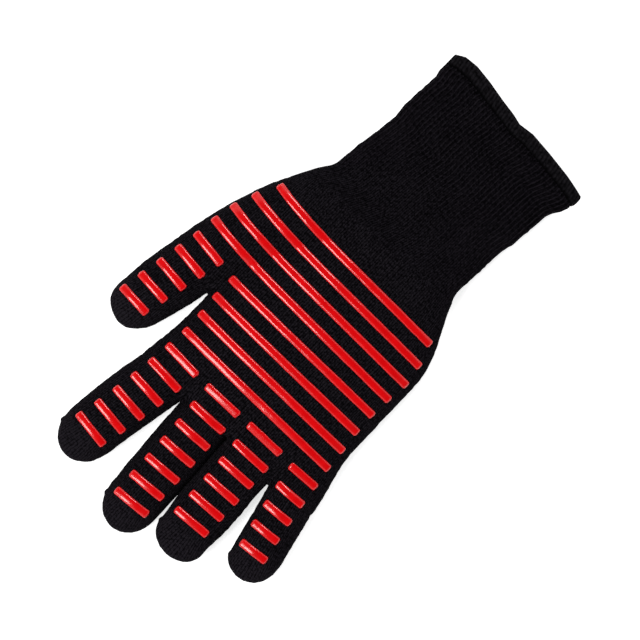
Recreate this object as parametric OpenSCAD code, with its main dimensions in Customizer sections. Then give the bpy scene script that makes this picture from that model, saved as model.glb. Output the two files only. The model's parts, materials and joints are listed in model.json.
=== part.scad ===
// Heat resistant knit glove for the right hand, lying on its back with the palm up.
// Millimetres. +Y runs from the cuff to the fingertips, +X to the thumb side, +Z up out of the palm.
// The origin is on the table, under the middle of the glove's outline.
// Every digit folds at its root and once along its length, and the cuff folds at the wrist.
// Each fold turns about a line in the palm face, so the back of the glove opens and nothing is pinched.

/* [Hand] */
// Wrist line to knuckle line
hand_len = 163.5; // [136:0.5:197]
// Width at the wrist
wrist_w = 102; // [85:1:123]
// Width across the palm, without the thumb
palm_w = 124; // [104:1:149]
// How far the palm's middle lies from the wrist's middle, towards the little finger
palm_shift = 8.5; // [4:0.5:14]
// How far the row of fingers lies from the wrist's middle, towards the little finger
row_shift = 10.4; // [6:0.2:14]
// Thickness at the middle of the palm
palm_t = 22; // [18:0.2:26.4]
// Thickness at the wrist and along the cuff
wrist_t = 20; // [17:0.5:24]
// How far below the knuckle line the finger stalls part
crotch_drop = 5; // [3:0.5:8]

/* [Finger stalls] */
// Thickness of a finger stall
finger_t = 18.5; // [16:0.5:22]
// Space between two finger stalls at their roots
finger_gap = 1.3; // [1:0.1:4]
// Length of a stall's rounded tip
tip_len = 14; // [11:0.5:16]
// Index: width at the root
index_w = 35.2; // [29:0.1:42]
// Index: width where the tip starts
index_tip_w = 32.4; // [27:0.1:39]
// Index: knuckle line to fingertip
index_len = 67; // [56:0.5:80]
// Index: lean towards the thumb
index_lean = 9.4; // [4:0.1:12]
// Middle: width at the root
middle_w = 33.6; // [28:0.1:40]
// Middle: width where the tip starts
middle_tip_w = 32.6; // [27:0.1:39]
// Middle: knuckle line to fingertip
middle_len = 78.5; // [65:0.5:94]
// Middle and ring: lean towards the thumb
middle_lean = -2.5; // [-4:0.1:2]
// Ring: width at the root
ring_w = 34; // [28:0.1:41]
// Ring: width where the tip starts
ring_tip_w = 31.6; // [26:0.1:38]
// Ring: knuckle line to fingertip
ring_len = 68.5; // [57:0.5:82]
// Little: width at the root
little_w = 30.6; // [25:0.1:37]
// Little: width where the tip starts
little_tip_w = 27.8; // [23:0.1:34]
// Little: knuckle line to fingertip
little_len = 51; // [43:0.5:61]
// Little: lean towards the thumb
little_lean = -11.6; // [-14:0.1:-6]

/* [Thumb stall] */
// Knuckle line down to the fold at the thumb's root
thumb_drop = 58.2; // [52:0.2:68]
// Space between the thumb stall and the palm
thumb_gap = 2; // [1:0.1:4]
// Thickness of the thumb stall
thumb_t = 19; // [16:0.5:22]
// Width at the root
thumb_w = 35.4; // [29.5:0.1:42.5]
// Width where the tip starts
thumb_tip_w = 32; // [27:0.1:38]
// Root fold to the tip
thumb_len = 47.5; // [43:0.5:57]
// Lean away from the fingers
thumb_lean = 10.8; // [6:0.1:16]

/* [Cuff] */
// Wrist line to the mouth, with the hem
cuff_len = 92; // [76:1:111]
// Width of the cuff above its hem
cuff_w = 103; // [86:1:124]
// How far the hem flares on each side
cuff_flare = 2.8; // [0:0.2:5]
// Lean of the cuff
cuff_lean = 5.5; // [0:0.1:8]
// Depth of the overlocked hem
hem_len = 7; // [5:0.5:12]
// How far the hem stands out from the knit on each side
hem_swell = 0.9; // [0.4:0.1:1.5]

/* [Layers] */
// Thickness of the outer knit
shell_wall = 1.8; // [1.4:0.1:2.4]
// Thickness of the cotton liner
liner_wall = 1.2; // [0.8:0.1:1.6]
// Space between the outer knit and the liner
layer_gap = 0.3; // [0.2:0.05:0.5]
// Space between two segments at a fold
fold_gap = 0.5; // [0.4:0.1:1]

/* [Grip bars] */
// Distance from one bar to the next
grip_pitch = 13.2; // [11:0.1:16]
// Width of a bar
grip_w = 5; // [4:0.1:6]
// Height of a bar
grip_h = 1.2; // [0.8:0.1:1.6]
// Length of a bar on the index, middle and ring stalls and on the thumb
grip_len = 25; // [21:0.5:28]
// Length of a bar on the little stall
little_grip_len = 20; // [17:0.5:24]
// How far the bars on the thumb lie towards its outer side
thumb_grip_shift = 2; // [0:0.5:3]
// How far the bars on the little stall lie towards the ring stall
little_grip_shift = 1.5; // [0:0.5:2.5]
// Long bars that end at the index side of the palm
palm_rows = 4; // [2:1:4]
// Long bars that run on over the ball of the thumb
ball_rows = 4; // [2:1:4]
// How far the thumb end of those bars bows towards the wrist
ball_bow = 6.5; // [3:0.5:9]
// Distance from a long bar's end to the glove's outline
grip_margin = 4; // [3:0.5:8]

/* [Hidden] */
// How square the sections are: 2 is an ellipse
palm_round = 3;
digit_round = 2.4;
// The table presses the underside flat by this much
flat_cut = 0.6;
// Facets around the hand and cuff and around a digit
hand_sides = 28;
digit_sides = 16;
// Spans along the palm, the ball of the thumb, the cuff and a rounded tip
palm_spans = 9;
ball_spans = 4;
cuff_spans = 3;
tip_spans = 3;
tip_end = 78;
// Length over which the cuff flares to its mouth
flare_len = 25;
// Rounded edges of the hem, at the mouth and at the knit
hem_lip = 2;
hem_step = 1;
// A bar's side stands up to this share of its height, and its flat top has this share of its width
bead_side = 0.55;
bead_flat = 0.6;
// Two spans of one solid share this much
weld = 0.01;
// Bars on a digit's base segment, and short bars on the palm below each digit
base_grips = 2;
root_grips = 2;
// Bars turn with this share of their digit's lean
grip_turn = 0.6;
// Bars lie this far clear of the knit's facets
grip_clear = 0.3;
// More clearance for the bars that cross the crease beside the ball of the thumb
ball_clear = 0.2;
// The hole inside a wall runs on this far past an open end
over = 1;
// Length of the stub that a finger stall grows from
root_len = 30;
// Length over which the heel of the hand widens, and the ball of the thumb swells
heel_len = 62;
ball_back = 60;
ball_w = 80;
ball_swell = 2;
// Stretches over which the palm thickens above the wrist and thins towards the knuckles
palm_rise = 60;
palm_fall = 45;
// The palm is narrowest this far above the thumb's root fold
waist_rise = 5;
// How far the web between two stalls lies below their tops
web_drop = 1.5;

liner_out = shell_wall + layer_gap;
liner_in = liner_out + liner_wall;
hem_start = cuff_len - hem_len;

palm_l = -palm_shift - palm_w/2;
palm_r = -palm_shift + palm_w/2;
row_w = little_w + ring_w + middle_w + index_w + 3*finger_gap;
row_l = -row_shift - row_w/2;
row_r = -row_shift + row_w/2;
thumb_y = hand_len - thumb_drop;
waist_y = thumb_y + waist_rise;

// Digits: name, root, lean, lean of the fold lines, length, root and tip width, thickness,
// bar length, shift of the bars towards the thumb side
digits = [
  ["thumb", [palm_r + thumb_gap + thumb_w/2*cos(thumb_lean), thumb_y], thumb_lean, thumb_lean,
   thumb_len, thumb_w, thumb_tip_w, thumb_t, grip_len, thumb_grip_shift],
  ["index", [row_r - index_w/2, hand_len], index_lean, 0,
   index_len, index_w, index_tip_w, finger_t, grip_len, 0],
  ["middle", [row_r - index_w - finger_gap - middle_w/2, hand_len], middle_lean, 0,
   middle_len, middle_w, middle_tip_w, finger_t, grip_len, 0],
  ["ring", [row_l + little_w + finger_gap + ring_w/2, hand_len], middle_lean, 0,
   ring_len, ring_w, ring_tip_w, finger_t, grip_len, 0],
  ["little", [row_l + little_w/2, hand_len], little_lean, 0,
   little_len, little_w, little_tip_w, finger_t, little_grip_len, little_grip_shift]
];
thumb = digits[0];
fingers = [for (i = [1:4]) digits[i]];
segments = ["base_shell", "tip_shell", "base_liner", "tip_liner", "base_grips", "tip_grips"];

function name(d) = d[0];
function root(d) = d[1];
function lean(d) = d[2];
function fold_lean(d) = d[3];
function len_of(d) = d[4];
function thick(d) = d[7];
function bar_len(d) = d[8];
function bar_shift(d) = d[9];
function fold_at(d) = base_grips*grip_pitch;
// Bars above the root fold: as many as end before the rounded tip, and at least one past the second fold
function bars(d) = max(base_grips + 1, round((len_of(d) - tip_len)/grip_pitch));

knit_black = [0.06, 0.06, 0.07];
hem_black = [0.1, 0.1, 0.11];
silicone_red = [0.86, 0.04, 0.05];
cotton = [0.88, 0.86, 0.8];

// Sums

function mix(a, b, t) = a + (b - a)*t;
function clamp(t) = max(0, min(1, t));
function smooth(t) = let (c = clamp(t)) c*c*(3 - 2*c);
function power(v, p) = sign(v)*pow(abs(v), p);
function heading(a) = [sin(a), cos(a)];
function across(a) = [cos(a), -sin(a)];
function flip(list) = [for (i = [len(list) - 1:-1:0]) list[i]];

// A section: flat on the table, crowned above. inset moves it inwards, shrink rounds a tip.
function ring(c, w, t, turn, inset, round, sides, shrink = 1) =
  let (h = t/2 - inset, floor_z = max(inset, 0))
  [for (k = [0:sides - 1])
    let (a = 360*k/sides,
         u = shrink*(w - inset)*power(cos(a), 2/round),
         v = power(sin(a), 2/round),
         p = c + u*across(turn))
    [p.x, p.y, max(floor_z, t/2 + shrink*v*(v < 0 ? h + flat_cut : h))]];

// Height of a section's crown at u from its middle
function crown(u, w, t, round, shrink = 1) =
  abs(u) >= shrink*w ? 0 : t/2*(1 + shrink*pow(1 - pow(abs(u)/(shrink*w), round), 1/round));

// Digits

function axis_point(d, s) = root(d) + s*heading(lean(d));
function half_w(d, s) = mix(d[5], d[6], clamp(s/(len_of(d) - tip_len)))/2;
function rounding(d, s, inset) =
  let (t = (s - len_of(d) + tip_len)/(tip_len - inset)) t <= 0 ? 1 : sqrt(max(0, 1 - t*t));
function digit_ring(d, s, inset) =
  ring(axis_point(d, s), half_w(d, s), thick(d), fold_lean(d), inset, digit_round, digit_sides,
       rounding(d, s, inset));
function tip_stations(d, inset) =
  [for (i = [0:tip_spans]) len_of(d) - tip_len + (tip_len - inset)*sin(tip_end*i/tip_spans)];

// Plan point to distance along the digit and across it
function digit_place(d, p) =
  let (q = p - root(d), a = heading(lean(d)), c = across(fold_lean(d)), k = a.x*c.y - a.y*c.x)
  [(q.x*c.y - q.y*c.x)/k, (a.x*q.y - a.y*q.x)/k];
function digit_top(d, p) =
  let (q = digit_place(d, p))
  crown(q[1], half_w(d, q[0]), thick(d), digit_round, rounding(d, q[0], 0));

// Hand

function hand_t(y) =
  mix(mix(wrist_t, palm_t, smooth(y/palm_rise)), finger_t - web_drop,
      smooth((y - hand_len + palm_fall)/palm_fall));
function hand_edge(y, palm_edge, row_edge) =
  mix(mix(sign(palm_edge)*wrist_w/2, palm_edge, smooth(y/heel_len)), row_edge,
      smooth((y - waist_y)/(hand_len - waist_y)));
function hand_l(y) = hand_edge(y, palm_l, row_l);
function hand_r(y) = hand_edge(y, palm_r, row_r);
function hand_ring(y, inset, at) =
  ring([(hand_l(y) + hand_r(y))/2, at], (hand_r(y) - hand_l(y))/2, hand_t(y), 0, inset, palm_round,
       hand_sides);
palm_end = hand_len - crotch_drop;
function palm_station(i, inset = 0) = mix(fold_gap/2, palm_end - inset, i/palm_spans);
palm_facets = [for (i = [0:palm_spans]) palm_station(i)];
line_l = [for (y = palm_facets) [y, hand_l(y)]];
line_r = [for (y = palm_facets) [y, hand_r(y)]];
line_t = [for (y = palm_facets) [y, hand_t(y)]];
function palm_top(p) =
  let (l = lookup(p.y, line_l), r = lookup(p.y, line_r))
  p.y > palm_end + grip_w ? 0 : crown(p.x - (l + r)/2, (r - l)/2, lookup(p.y, line_t), palm_round);

// The ball of the thumb runs on a curve from the wrist to the thumb's root, t from 0 to 1
ball_start = [wrist_w/2 - ball_w/2, fold_gap/2];
ball_end = axis_point(thumb, -fold_gap/2);
ball_bend = ball_end - ball_back*heading(thumb_lean);
function ball_point(t) =
  (1 - t)*(1 - t)*ball_start + 2*t*(1 - t)*ball_bend + t*t*ball_end;
function ball_half(t) = mix(thumb_w, ball_w, (1 - t)*(1 - t))/2;
function ball_t(t) = mix(wrist_t, thumb_t, t) + ball_swell*sin(180*t);
function ball_turn(t) = thumb_lean*t;
function ball_ring(t, inset) =
  ring(ball_point(t), ball_half(t), ball_t(t), ball_turn(t), inset, digit_round, digit_sides);
ball_facets = [for (i = [0:ball_spans]) i/ball_spans];
ball_line_x = [for (t = ball_facets) [t, ball_point(t).x]];
ball_line_w = [for (t = ball_facets) [t, ball_half(t)]];
ball_line_t = [for (t = ball_facets) [t, ball_t(t)]];
ball_heights = [for (t = ball_facets) [ball_point(t).y, t]];
ball_outline = [for (t = ball_facets)
  let (e = ball_point(t) + ball_half(t)*across(ball_turn(t))) [e.y, e.x]];
function ball_side(p, t) = (p.x - lookup(t, ball_line_x))/cos(ball_turn(t));
function ball_near(p, t) = lookup(p.y + ball_side(p, t)*sin(ball_turn(t)), ball_heights);
function ball_top(p) =
  let (t = ball_near(p, ball_near(p, ball_near(p, lookup(p.y, ball_heights)))))
  p.y > thumb_y ? 0 : crown(ball_side(p, t), lookup(t, ball_line_w), lookup(t, ball_line_t), digit_round);

// Height of the palm face anywhere on the hand
function hand_top(p) =
  max(palm_top(p), ball_top(p),
      max([for (d = fingers) digit_place(d, p)[0] < -root_len ? 0 : digit_top(d, p)]));

// Cuff, s from the wrist line down to the mouth

function cuff_turn(s) = cuff_lean*smooth(s/(cuff_len/2));
function cuff_half(s) =
  mix(wrist_w, cuff_w, clamp(s/cuff_len))/2 + cuff_flare*smooth((s - cuff_len + flare_len)/flare_len);
function cuff_ring(s, inset) =
  ring(-s*heading(cuff_lean), cuff_half(s), wrist_t, cuff_turn(s), inset, palm_round, hand_sides);

// The outline's middle, which the whole glove is moved to
outline = concat(
  [for (d = digits, s = tip_stations(d, 0), p = digit_ring(d, s, 0)) p],
  [for (p = cuff_ring(cuff_len - hem_lip, -hem_swell)) p],
  [for (p = cuff_ring(cuff_len, 0)) p]);
middle = [(min([for (p = outline) p.x]) + max([for (p = outline) p.x]))/2,
          (min([for (p = outline) p.y]) + max([for (p = outline) p.y]))/2];

// Builders

// A skin through sections. Without caps it closes on itself, which makes a tube.
module skin(rings, caps = true) {
  n = len(rings[0]);
  m = len(rings);
  spans = caps ? m - 1 : m;
  sides = [for (i = [0:spans - 1], k = [0:n - 1])
    let (a = i*n + k, b = i*n + (k + 1)%n, c = ((i + 1)%m)*n + (k + 1)%n, e = ((i + 1)%m)*n + k)
    each [[a, b, c], [a, c, e]]];
  ends = caps ? [[for (k = [n - 1:-1:0]) k], [for (k = [0:n - 1]) (m - 1)*n + k]] : [];
  polyhedron(points = [for (r = rings) each r], faces = concat(sides, ends));
}

// Solid through sections, one convex span at a time
module spans(rings) {
  for (i = [0:len(rings) - 2]) hull() skin([rings[i], rings[i + 1]]);
}

// The hand's outside, moved inwards by inset. The hole inside a wall runs on past its open ends.
module hand_form(inset, past = 0) {
  stations = concat([fold_gap/2 - past], [for (i = [1:palm_spans]) palm_station(i, inset)]);
  spans([for (y = stations) hand_ring(max(y, 0), inset, y)]);
  spans(concat(
    [[for (p = ball_ring(0, inset)) p - [0, past, 0]]],
    [for (i = [1:ball_spans]) ball_ring(i/ball_spans, inset)],
    [digit_ring(thumb, past - fold_gap/2 + weld, inset)]));
  for (d = fingers)
    spans([digit_ring(d, -root_len, inset), digit_ring(d, past - fold_gap/2, inset)]);
}

module hand_layer(outer, inner) {
  difference() {
    hand_form(outer);
    hand_form(inner, over);
  }
}

module digit_tube(d, outer, inner) {
  ends = [fold_gap/2, fold_at(d) - fold_gap/2];
  skin(concat([for (s = ends) digit_ring(d, s, outer)], [for (s = flip(ends)) digit_ring(d, s, inner)]),
       caps = false);
}

module digit_cup(d, outer, inner) {
  start = fold_at(d) + fold_gap/2;
  skin(concat(
    flip([for (s = concat([start], tip_stations(d, inner))) digit_ring(d, s, inner)]),
    [for (s = concat([start], tip_stations(d, outer))) digit_ring(d, s, outer)]));
}

module cuff_tube(outer, inner) {
  stations = [for (i = [0:cuff_spans]) mix(hem_start, fold_gap/2, i/cuff_spans)];
  skin(concat([for (s = stations) cuff_ring(s, outer)], [for (s = flip(stations)) cuff_ring(s, inner)]),
       caps = false);
}

// Glove parts, all drawn about the middle of the wrist line

module place() translate([-middle.x, -middle.y, 0]) children();

module hand_shell() color(knit_black) place() hand_layer(0, shell_wall);
module hand_liner() color(cotton) place() hand_layer(liner_out, liner_in);
module cuff_shell() color(knit_black) place() cuff_tube(0, shell_wall);
module cuff_liner() color(cotton) place() cuff_tube(liner_out, liner_in);

// The hem wraps the ends of the shell and the liner
module cuff_hem() {
  inner = liner_in + hem_swell;
  profile = [[cuff_len, 0], [cuff_len - hem_lip, -hem_swell], [hem_start + hem_step, -hem_swell],
             [hem_start, -hem_swell/2], [hem_start, inner - hem_swell/2], [hem_start + hem_step, inner],
             [cuff_len - hem_lip, inner], [cuff_len, inner - hem_swell]];
  color(hem_black) place() skin([for (p = profile) cuff_ring(p[0], p[1])], caps = false);
}

module digit_part(d, segment) {
  if (segment == "base_shell") color(knit_black) place() digit_tube(d, 0, shell_wall);
  if (segment == "tip_shell") color(knit_black) place() digit_cup(d, 0, shell_wall);
  if (segment == "base_liner") color(cotton) place() digit_tube(d, liner_out, liner_in);
  if (segment == "tip_liner") color(cotton) place() digit_cup(d, liner_out, liner_in);
  if (segment == "base_grips") color(silicone_red) place() digit_grips(d, 0, base_grips - 1);
  if (segment == "tip_grips") color(silicone_red) place() digit_grips(d, base_grips, bars(d) - 1);
}

// One bar: a bead along a line of plan points, lying on the face below it
bead_right = [[1, 0], [1, bead_side], [bead_flat, 1]];
bead = [for (b = concat(bead_right, [for (r = flip(bead_right)) [-r.x, r.y]])) [b.x*grip_w/2, b.y*grip_h]];
function line_side(points, i) =
  let (t = points[min(i + 1, len(points) - 1)] - points[max(i - 1, 0)]) [t.y, -t.x]/norm(t);
function bead_ring(points, i, heights) =
  [for (b = bead) let (p = points[i] + b[0]*line_side(points, i)) [p.x, p.y, heights(p) + grip_clear + b[1]]];
module grip_bar(points, heights) skin([for (i = [0:len(points) - 1]) bead_ring(points, i, heights)]);

// Steps from -1 to 1 along a bar, closer near its ends, where the glove is rounder
function steps(n) = [for (i = [0:n]) sin(180*i/n - 90)];
short_steps = steps(6);
long_steps = steps(16);

// A straight bar across a digit
function cross_line(d, s) =
  [for (t = short_steps)
    axis_point(d, s) + (bar_shift(d) + bar_len(d)/2*t)*across(grip_turn*lean(d))];
module digit_grips(d, first, last) {
  for (k = [first:last]) grip_bar(cross_line(d, (k + 0.5)*grip_pitch), function (p) digit_top(d, p));
}
module short_grips(d) {
  for (k = [0:root_grips - 1])
    grip_bar(cross_line(d, -(k + 0.5)*grip_pitch), function (p) hand_top(p));
}

// A long bar across the palm. bow bends its thumb end towards the wrist.
module long_grip(y, x0, x1, bow, lift) {
  grip_bar([for (t = long_steps) [mix(x0, x1, (t + 1)/2), y - bow*pow((t + 1)/2, 2)]],
           function (p) hand_top(p) + lift);
}
// A bar that is level with the thumb's own bars ends at the index side too
lowest_thumb_bar = axis_point(thumb, -root_grips*grip_pitch).y;
module palm_grips() {
  color(silicone_red) place() for (k = [0:palm_rows + ball_rows - 1]) {
    y = hand_len - (root_grips + k + 0.5)*grip_pitch;
    on_ball = k >= palm_rows && y < lowest_thumb_bar;
    bow = on_ball ? ball_bow : 0;
    end = on_ball ? lookup(y - bow, ball_outline) : hand_r(y);
    long_grip(y, hand_l(y) + grip_margin, end - grip_margin, bow, on_ball ? ball_clear : 0);
  }
}
module finger_root_grips() color(silicone_red) place() for (d = fingers) short_grips(d);
module thumb_root_grips() color(silicone_red) place() short_grips(thumb);

hand_shell();
hand_liner();
cuff_shell();
cuff_liner();
cuff_hem();
palm_grips();
finger_root_grips();
thumb_root_grips();
for (d = digits, s = segments)
  digit_part(d, s);

// Where the folds turn, for the assembly
for (d = digits)
  echo(fold = name(d), root = [for (s = [0, fold_at(d)]) concat(axis_point(d, s) - middle, thick(d))],
       axis = across(fold_lean(d)));
echo(fold = "wrist", root = [-middle.x, -middle.y, wrist_t], middle = middle);
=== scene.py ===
"""Heat resistant glove: knit skin, grip bars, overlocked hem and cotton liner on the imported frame."""
import json
import math
from collections import namedtuple
from functools import partialmethod

import bpy
import numpy as np
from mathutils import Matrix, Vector
from mathutils.bvhtree import BVHTree
from numpy.linalg import norm

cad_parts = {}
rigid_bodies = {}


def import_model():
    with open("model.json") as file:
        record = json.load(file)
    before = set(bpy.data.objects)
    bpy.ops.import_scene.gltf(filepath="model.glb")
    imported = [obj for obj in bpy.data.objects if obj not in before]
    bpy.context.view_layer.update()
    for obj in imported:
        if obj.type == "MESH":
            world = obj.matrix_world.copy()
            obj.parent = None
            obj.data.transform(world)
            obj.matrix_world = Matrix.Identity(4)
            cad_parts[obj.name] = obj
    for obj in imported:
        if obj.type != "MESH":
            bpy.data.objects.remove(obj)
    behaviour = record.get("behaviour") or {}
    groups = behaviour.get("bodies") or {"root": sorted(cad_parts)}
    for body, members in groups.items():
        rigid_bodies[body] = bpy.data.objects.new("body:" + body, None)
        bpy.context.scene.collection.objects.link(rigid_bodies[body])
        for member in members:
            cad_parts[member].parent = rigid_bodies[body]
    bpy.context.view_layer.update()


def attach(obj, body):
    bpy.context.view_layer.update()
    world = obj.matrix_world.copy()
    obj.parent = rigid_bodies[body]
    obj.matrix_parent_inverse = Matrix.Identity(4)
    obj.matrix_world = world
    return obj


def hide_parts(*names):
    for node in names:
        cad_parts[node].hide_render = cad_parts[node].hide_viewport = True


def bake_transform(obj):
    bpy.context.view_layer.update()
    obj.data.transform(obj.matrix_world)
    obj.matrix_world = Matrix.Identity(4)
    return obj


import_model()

# Sizes are in millimetres in the frame's axes, and MM turns them into metres
MM = 0.001
# Lowest place of the knit above the table
REST = 0.02

# Palm: middle of the wrist line, and above it the thumb's root, the palm's end and the finger folds
WRIST = np.array([-4.89524, -72.4194])
THUMB_Y, PALM_END, HAND_LEN = 105.3, 158.5, 163.5
WRIST_W, WRIST_T, PALM_T, WEB_T = 102.0, 20.0, 22.0, 17.0
# Left and right edge of the palm and of the row of fingers, from the wrist's middle
PALM_EDGE, ROW_EDGE = (-70.4, 53.6), (-79.0, 58.0)
# The palm grows above the wrist, thins below the finger folds and is fuller towards the little finger
PALM_RISE, PALM_FALL, PALM_LEAN = 60.0, 45.0, 0.05
# It spreads from this far above the thumb's root, each side with its own bend
SPREAD_FROM, SPREAD_BEND = 5.0, (1.2, 1.7)

# Sections: how square they are, where 2 is an ellipse, and their points
PALM_FORM, PALM_LOW_FORM, DIGIT_FORM = 2.6, 3.4, 2.4
PALM_SIDES, DIGIT_SIDES, WEB_SIDES = 120, 56, 40
# The table flattens undersides by this much, and sections reach at least this far
PRESSED, LEAST_REACH = 0.6, 0.3
# Sections along each loft, and the turn over which those of a tip go
PALM_ROWS, BALL_ROWS, WEB_ROWS, STALL_ROWS, TIP_ROWS, TIP_TURN = 60, 26, 16, 34, 22, (0.08, 1.53)
# Palm and ball start this far below the wrist line
TUCK = 8.0

# Digits: root on the fold line, lean, lean of the fold line, thickness, length, length of the rounded tip
# on both sides, height of the widest place in thicknesses, and the outline as rows of the distance along
# the axis and the reach to the left and right edge
Digit = namedtuple("Digit", "root lean fold_lean thick length tips belly rows")
DIGITS = {
    "thumb": Digit((67.9912, 32.8806), 10.8, 10.8, 19.0, 48.6, (20.0, 14.5), 0.5, [
        (-14, 18.8, 17.9), (5, 18.0, 18.1), (16, 17.1, 18.2), (25, 16.1, 17.3), (34, 15.2, 16.4),
    ]),
    "index": Digit((35.7548, 91.0806), 9.4, 0.0, 18.5, 67.5, (21.0, 21.0), 0.5, [
        (-30, 16.8, 17.0), (0, 17.8, 18.3), (10, 17.6, 19.1), (20, 17.0, 18.7), (32, 16.6, 18.7),
        (44, 16.7, 18.0), (54, 16.2, 17.4),
    ]),
    "middle": Digit((0.0548, 91.0806), -2.5, 0.0, 18.5, 79.2, (20.0, 20.0), 0.32, [
        (-30, 16.8, 16.8), (-10, 17.4, 17.0), (12, 17.4, 17.9), (38, 17.2, 17.7), (46, 16.8, 17.7),
        (54, 16.7, 17.2), (64, 16.3, 16.8),
    ]),
    "ring": Digit((-35.0452, 91.0806), -2.5, 0.0, 18.5, 68.4, (13.5, 13.5), 0.68, [
        (-30, 17.0, 17.0), (-10, 17.0, 18.0), (0, 17.0, 18.0), (10, 16.3, 18.05), (20, 17.0, 18.15),
        (32, 17.1, 18.25), (39, 16.7, 18.15), (46, 15.6, 17.2), (54, 15.2, 16.6),
    ]),
    "little": Digit((-68.6452, 91.0806), -11.6, 0.0, 18.5, 50.7, (18.0, 11.0), 0.5, [
        (-30, 14.8, 15.3), (0, 15.6, 15.2), (10, 15.7, 14.7), (20, 15.7, 14.2), (30, 16.0, 14.4),
        (38, 15.5, 13.9),
    ]),
}
THUMB = DIGITS["thumb"]
# The rows are rounded over OUTLINE_SOFT, and a tip has a form in plan and one in height
OUTLINE_SOFT, TIP_FORM, TIP_HEIGHT_FORM = 6.0, 2.2, 2.25
# Sections are square to the fold line up to here and turn to the axis over TURN_RUN
TURN_FROM, TURN_RUN = 8.0, 24.0
# Roots are sunk into the palm and come out of it over SINK_RUN
ROOT_SINK, SINK_END, SINK_RUN = 4.0, -4.0, 26.0
# Webs between two digits: start in the palm, and end
WEBS = [((50.0, 14.0), (48.2, 31.6)), ((17.8, 72.0), (17.8, 88.0)), ((-52.0, 72.0), (-52.0, 88.0))]
# Their reach to both sides at the start and the end, and thickness
WEB_REACH, WEB_THICK = (10.0, 3.6), 16.0
# Ball of the thumb: start from the wrist's middle, half width there, and reach to both sides at its end
BALL_FROM, BALL_HALF, BALL_LEFT, BALL_RIGHT = (11.0, 0.25), 40.0, 18.1, 17.9
# It swells outwards and upwards half way and comes straight into the thumb
BALL_SWELL, BALL_CROWN, BALL_RUN = 0.9, 2.0, 60.0

# Skin and lining: depth of the lofts under it, size of a face and rounds of evening out
INSET, SKIN_FACE, SKIN_ROUNDS = 1.5, 1.1, 14
LINING_INSET, LINING_FACE, LINING_ROUNDS = 2.9, 2.4, 4
# A round pulls each point to the middle of its neighbours and pushes it back
PULL, PUSH = 0.5, -0.52
# Height and grain of lumps, dimples and the yarn's fuzz
LUMP, LUMP_GRAIN, DIMPLE, DIMPLE_GRAIN, FUZZ, FUZZ_GRAIN = 0.22, 17.0, 0.12, 7.5, 0.24, 2.1
# They grow from this height on, and the fuzz from this place on, above the cuff
EVEN_Z, EVEN_RUN, FUZZ_FROM, FUZZ_RUN = 1.0, 5.0, -56.0, 8.0
# Knots where a stall was closed, and a dent: distance along and across, push to the right and radius
KNOTS = [
    ("little", 41.3, 14.0, 1.2, 1.6), ("ring", 55.2, 17.0, 1.2, 1.6), ("middle", 65.3, 15.8, 1.2, 1.6),
    ("index", 55.8, 15.6, 1.2, 1.6), ("thumb", 42.9, -10.3, 0.9, 6.0),
]
# Height of a knot in thicknesses, how much taller than wide it is, and the turn of its push
KNOT_HEIGHT, KNOT_TALL, KNOT_TURN = 0.55, 1.6, 20.0
# Skin of a digit: half its width, its most reach in half widths, and where it starts past the fold line
OWN_HALF, OWN_MOST, FINGER_FROM, THUMB_FROM = 16.5, 1.6, -13.0, -9.0
# The thumb's skin starts here across, and no finger has skin below and right of the corner
THUMB_SIDE, THUMB_CORNER = -18.8, (56.0, 84.0)
# Where the ring stall touches the middle one: across from its axis, and past its fold
TOUCH_AT, TOUCH_HALF, TOUCH_FROM, TOUCH_TO = -17.5, 4.0, -6.0, 46.0
# The crease between them: half width, height of its start and run over which it deepens
CREASE_HALF, CREASE_FROM, CREASE_RUN = 5.0, 82.0, 8.0

# Fold lines lie two bars apart, and a digit's skin is cut into base and tip this far past its root fold
PITCH = 13.2

# Bars: width, height, depth of the foot in the knit, and length of the rounded ends
BAR_W, BAR_H, BAR_SINK, BAR_ROUND = 5.1, 1.25, 0.28, 1.5
# Form of the ends in plan and in height, and of the bead's section, with its points
BAR_END_FORMS, BEAD_FORM, BEAD_POINTS = (3, 2.4), 2.5, 15
# Stations along a bar: at its ends, then the even ones with their start, step and least number
BAR_ENDS = np.array([0, 0.07, 0.2, 0.42, 0.75, 1.15, 1.6])
BAR_INNER, BAR_STEP, BAR_LEAST = 2.2, 0.75, 8
# Waves in a bar's edges and in its height: share of it, and length
EDGE_WAVES, HEIGHT_WAVES = [(0.02, 1.5), (0.03, 7.0)], [(0.03, 6.5), (0.01, 1.8)]
# The knit under a bar is evened out over this
BED_SOFT = 3.0
# The bars lie above the glove's middle, so the camera sees them this much larger
NEARER = 1.0042
# Bars on each digit as seen: middle of the first and the last one, sideways bend of the row, count, and
# slope and length at both ends
DIGIT_BARS = {
    "thumb": ((66.5, 13.7), (77.4, 64.8), 0.0, 5, (-8.2, -4.2), (24.2, 22.0)),
    "index": ((33.4, 71.3), (44.2, 136.7), -1.3, 6, (-2.9, -8.0), (25.4, 24.3)),
    "middle": ((0.1, 72.2), (-2.1, 151.4), -0.4, 7, (0.3, 4.2), (25.5, 24.1)),
    "ring": ((-33.0, 71.7), (-35.2, 135.7), -0.6, 6, (0.3, 3.4), (25.6, 24.3)),
    "little": ((-64.2, 72.1), (-73.2, 123.5), 0.7, 5, (1.8, 6.0), (20.4, 18.9)),
}
# Long bars as seen: height at the left end, left and right end
LONG_BARS = [
    (58.9, -72.5, 45.0), (45.6, -71.5, 45.2), (32.2, -70.2, 46.1), (18.7, -69.8, 45.8),
    (5.8, -70.6, 76.9), (-7.3, -72.1, 74.3), (-20.6, -70.1, 69.4), (-34.1, -65.7, 62.1),
]
# The first ones cross the palm and the others the ball: fall to the right, and bow at that end
PALM_BARS, PALM_BAR_FALL, BALL_BAR_FALL, BOW_FORM = 4, (0.9, 0.7), (3.1, 4.3), 6

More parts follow.
